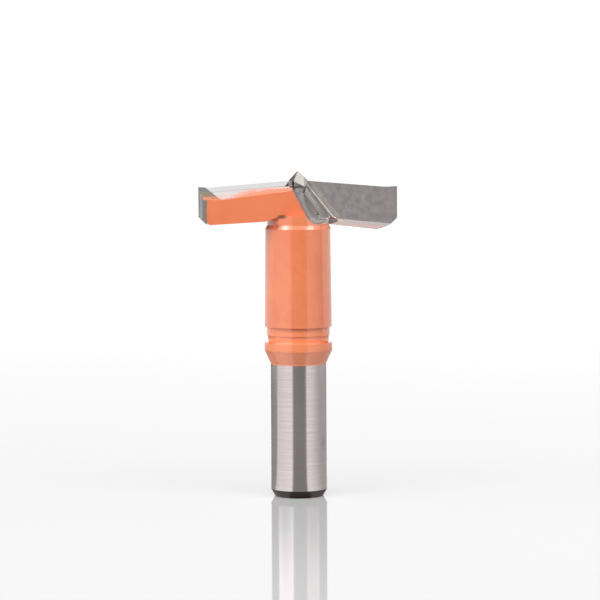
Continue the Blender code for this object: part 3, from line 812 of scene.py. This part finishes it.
# Radius, and height as a share of the pitch: a flank, the crest, a flank and the root
profile = [(ROOT, 0.0), (CREST, 0.36), (CREST, 0.48), (ROOT, 0.84), (ROOT, 1.0)]
verts = [thread.verts.new((radius, 0.0, share * PITCH - PITCH)) for radius, share in profile]
edges = [thread.edges.new(pair) for pair in zip(verts, verts[1:])]
bmesh.ops.spin(
    thread, geom=verts + edges, cent=(0, 0, 0), axis=(0, 0, 1), dvec=(0, 0, PITCH / STEPS),
    angle=2 * pi * TURNS, steps=STEPS * TURNS, use_merge=False, use_duplicate=False,
)
bmesh.ops.remove_doubles(thread, verts=thread.verts, dist=1e-7)
for level, up in ((THREAD_LOW, -1.0), (THREAD_HIGH, 1.0)):
    everything = thread.verts[:] + thread.edges[:] + thread.faces[:]
    bmesh.ops.bisect_plane(thread, geom=everything, dist=1e-8, plane_co=(0, 0, level),
                           plane_no=(0, 0, up), clear_outer=True)
rim_edges = [edge for edge in thread.edges if edge.is_boundary]
bmesh.ops.holes_fill(thread, edges=rim_edges, sides=0)
bmesh.ops.recalc_face_normals(thread, faces=thread.faces)
open_edges = sum(edge.is_boundary for edge in thread.edges)
print("thread:", len(thread.faces), "faces,", open_edges, "open edges")

# %% Keep the thread inside the screw's solid
blank = bpy.data.objects.new("screw_blank", bpy.data.meshes.new("screw_blank"))
merged = merged_copy("length_stop_screw")
merged.to_mesh(blank.data)
merged.free()
bpy.context.scene.collection.objects.link(blank)
screw_piece = finished_piece("threaded_stop_screw", thread)
cut = screw_piece.modifiers.new("inside_blank", 'BOOLEAN')
cut.operation = 'INTERSECT'
cut.solver = 'EXACT'
cut.object = blank
apply_modifiers(screw_piece)
bpy.data.objects.remove(blank, do_unlink=True)
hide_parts("length_stop_screw")
black = ground_steel("black_oxide_screw", light=(0.075, 0.072, 0.070), dark=(0.045, 0.043, 0.042),
                     roughness=0.38, lines=(900.0, 900.0, 900.0))[0]
screw_piece.data.materials.clear()
screw_piece.data.materials.append(black)
print("screw:", len(screw_piece.data.polygons), "faces")

# %% [markdown]
# ## Floor, backdrop and light
# The bit stands on glossy white acrylic before a white backdrop, between two soft boxes, with a
# dark gap where the camera stands. That gap is what draws the dark band down the middle of the
# shank. The floor is only moderately pale for the light that it sends to the object, and glows up
# to white for the camera. Metal and enamel mirror the floor as well, and a lit floor is brightest
# under the soft boxes, so reflections see a glow to the left, to the right and behind the object,
# and none towards the camera. The floor's gloss is plain Fresnel, and its diffuse part keeps the
# object's soft shadow.

# %% Helpers for the stage
def emission_strength(tree, camera_part, glossy_part):
    """Glow seen by the camera and by reflections, each with its own strength."""
    rays = tree.nodes.new("ShaderNodeLightPath")
    seen = times(tree, rays.outputs["Is Camera Ray"], camera_part)
    mirrored = times(tree, rays.outputs["Is Glossy Ray"], glossy_part)
    passed = times(tree, rays.outputs["Is Transmission Ray"], glossy_part)
    return plus(tree, seen, plus(tree, mirrored, passed))


def glowing_material(name, base, roughness):
    """A grey material that shines white as strongly as its emission is wired to."""
    mat, tree, shader = new_material(name)
    shader.inputs["Base Color"].default_value = (base, base, base, 1.0)
    shader.inputs["Roughness"].default_value = roughness
    shader.inputs["Emission Color"].default_value = WHITE
    return mat, tree, shader


def stage_plane(name, width, depth, mat):
    """A level rectangle that belongs to the stage and not to the object."""
    bm = bmesh.new()
    bmesh.ops.create_grid(bm, x_segments=1, y_segments=1, size=0.5)
    bmesh.ops.scale(bm, vec=(width, depth, 1.0), verts=bm.verts)
    mesh = bpy.data.meshes.new(name)
    bm.to_mesh(mesh)
    bm.free()
    mesh.materials.append(mat)
    plane = bpy.data.objects.new(name, mesh)
    bpy.context.scene.collection.objects.link(plane)
    return plane


def sector(tree, azimuth, low, high, soft=3.0):
    """One between two azimuths in degrees, seen from the object, with 0 towards the camera."""
    return between(tree, azimuth, radians(low - soft), radians(low + soft),
                   radians(high - soft), radians(high + soft))


# %% Floor as the camera sees it
FLOOR_BASE, FLOOR_ROUGHNESS = 0.34, 0.03
FLOOR_SIZE = 6.0
FLOOR_DROP = 0.02 * MM
BEHIND_FADE = (0.45, 0.0, 0.27, 0.20)
BEFORE_FADE = (0.0, -0.10, 0.0, 0.07)
SIDE_FADE = 0.16
GLOSS_FADE = (0.0, -0.09, 0.5, 0.15)

floor_mat, tree, shader = glowing_material("white_acrylic_floor", FLOOR_BASE, FLOOR_ROUGHNESS)
_, px, py, _ = object_point(tree)
near = plus(tree, ramp(tree, py, *BEHIND_FADE), ramp(tree, py, *BEFORE_FADE))
near = plus(tree, near, times(tree, px, SIDE_FADE))
wire(tree, ramp(tree, py, *GLOSS_FADE), shader.inputs["Specular IOR Level"])
floor = stage_plane("studio_floor", FLOOR_SIZE, FLOOR_SIZE, floor_mat)
floor.location.z = -FLOOR_DROP
print("floor of", FLOOR_SIZE, "m")

# %% Floor as reflections see it
LEFT, LEFT_EDGE, RIGHT = (-97.0, -24.0), (-140.0, -97.0), (30.0, 150.0)
LEFT_FADE = (radians(-97.0), radians(-24.0), 0.68, 0.80)
RIGHT_FADE = (radians(30.0), radians(105.0), 0.78, 0.28)
BACK_FADE = (radians(150.0), radians(162.0))
LEFT_EDGE_GLOW, BACK_GLOW = 0.15, 0.6
FAR_FADE = (0.22, 0.40)
FAR_BEHIND = (-0.05, 0.10)

azimuth = maths(tree, 'ARCTAN2', px, times(tree, py, -1.0))
left_glow = times(tree, sector(tree, azimuth, *LEFT), ramp(tree, azimuth, *LEFT_FADE))
left_edge = times(tree, sector(tree, azimuth, *LEFT_EDGE), LEFT_EDGE_GLOW)
right_glow = times(tree, sector(tree, azimuth, *RIGHT), ramp(tree, azimuth, *RIGHT_FADE))
back_glow = times(tree, ramp(tree, maths(tree, 'ABSOLUTE', azimuth), *BACK_FADE), BACK_GLOW)
far = maths(tree, 'SQRT', plus(tree, times(tree, px, px), times(tree, py, py)))
far_glow = times(tree, ramp(tree, far, *FAR_FADE), ramp(tree, py, *FAR_BEHIND))
glow = larger(tree, plus(tree, left_glow, left_edge), plus(tree, right_glow, back_glow))
glow = larger(tree, glow, far_glow)
wire(tree, emission_strength(tree, near, glow), shader.inputs["Emission Strength"])
print("glow in degrees: left", LEFT, "and right", RIGHT)

# %% White backdrop
BACKDROP_BASE, BACKDROP_ROUGHNESS = 0.05, 0.9
BACKDROP_MIRRORED = 1.08
BACKDROP_WIDTH, BACKDROP_HEIGHT = 1.2, 2.4
BACKDROP_Y, BACKDROP_Z = 1.2, 1.15

back_mat, tree, shader = glowing_material("white_backdrop", BACKDROP_BASE, BACKDROP_ROUGHNESS)
wire(tree, emission_strength(tree, 1.0, BACKDROP_MIRRORED), shader.inputs["Emission Strength"])
backdrop = stage_plane("studio_backdrop", BACKDROP_WIDTH, BACKDROP_HEIGHT, back_mat)
backdrop.rotation_euler.x = pi / 2
backdrop.location = (0.0, BACKDROP_Y, BACKDROP_Z)
print("backdrop", BACKDROP_Y, "m behind the bit")

# %% World
AMBIENT = 0.12

world = bpy.data.worlds.new("studio_world")
bpy.context.scene.world = world
world.use_nodes = True
tree = world.node_tree
tree.nodes.clear()
out = tree.nodes.new("ShaderNodeOutputWorld")
background = tree.nodes.new("ShaderNodeBackground")
rays = tree.nodes.new("ShaderNodeLightPath")
strength = plus(tree, times(tree, rays.outputs["Is Camera Ray"], 1.0 - AMBIENT), AMBIENT)
wire(tree, strength, background.inputs["Strength"])
background.inputs["Color"].default_value = WHITE
tree.links.new(background.outputs[0], out.inputs["Surface"])
print("world at", AMBIENT, "of white, and white for the camera")

# %% Soft boxes
def soft_box(name, azimuth, low, high, half_width, distance, radiance):
    """A rectangular lamp that covers a range of directions as the object sees them."""
    centre_angle = radians((low + high) / 2)
    turn = radians(azimuth)
    data = bpy.data.lights.new(name, 'AREA')
    data.shape = 'RECTANGLE'
    data.size = 2 * distance * tan(radians(half_width))
    data.size_y = 2 * distance * tan(radians(high - low) / 2)
    data.energy = radiance * pi * data.size * data.size_y
    lamp = bpy.data.objects.new(name, data)
    level = distance * cos(centre_angle)
    lamp.location = (level * sin(turn), -level * cos(turn), distance * sin(centre_angle))
    lamp.rotation_euler = (-lamp.location).to_track_quat('-Z', 'Y').to_euler()
    bpy.context.scene.collection.objects.link(lamp)
    print(name, "lamp of", round(data.energy, 3), "W")


soft_box("left_soft_box", azimuth=-58.0, low=11.0, high=50.0, half_width=34.0,
         distance=0.42, radiance=2.05)
soft_box("right_soft_box", azimuth=60.0, low=11.0, high=50.0, half_width=29.0,
         distance=0.42, radiance=1.0)
soft_box("top_soft_box", azimuth=0.0, low=50.0, high=76.0, half_width=45.0,
         distance=0.6, radiance=4.9)
bpy.context.scene.view_settings.view_transform = 'Standard'
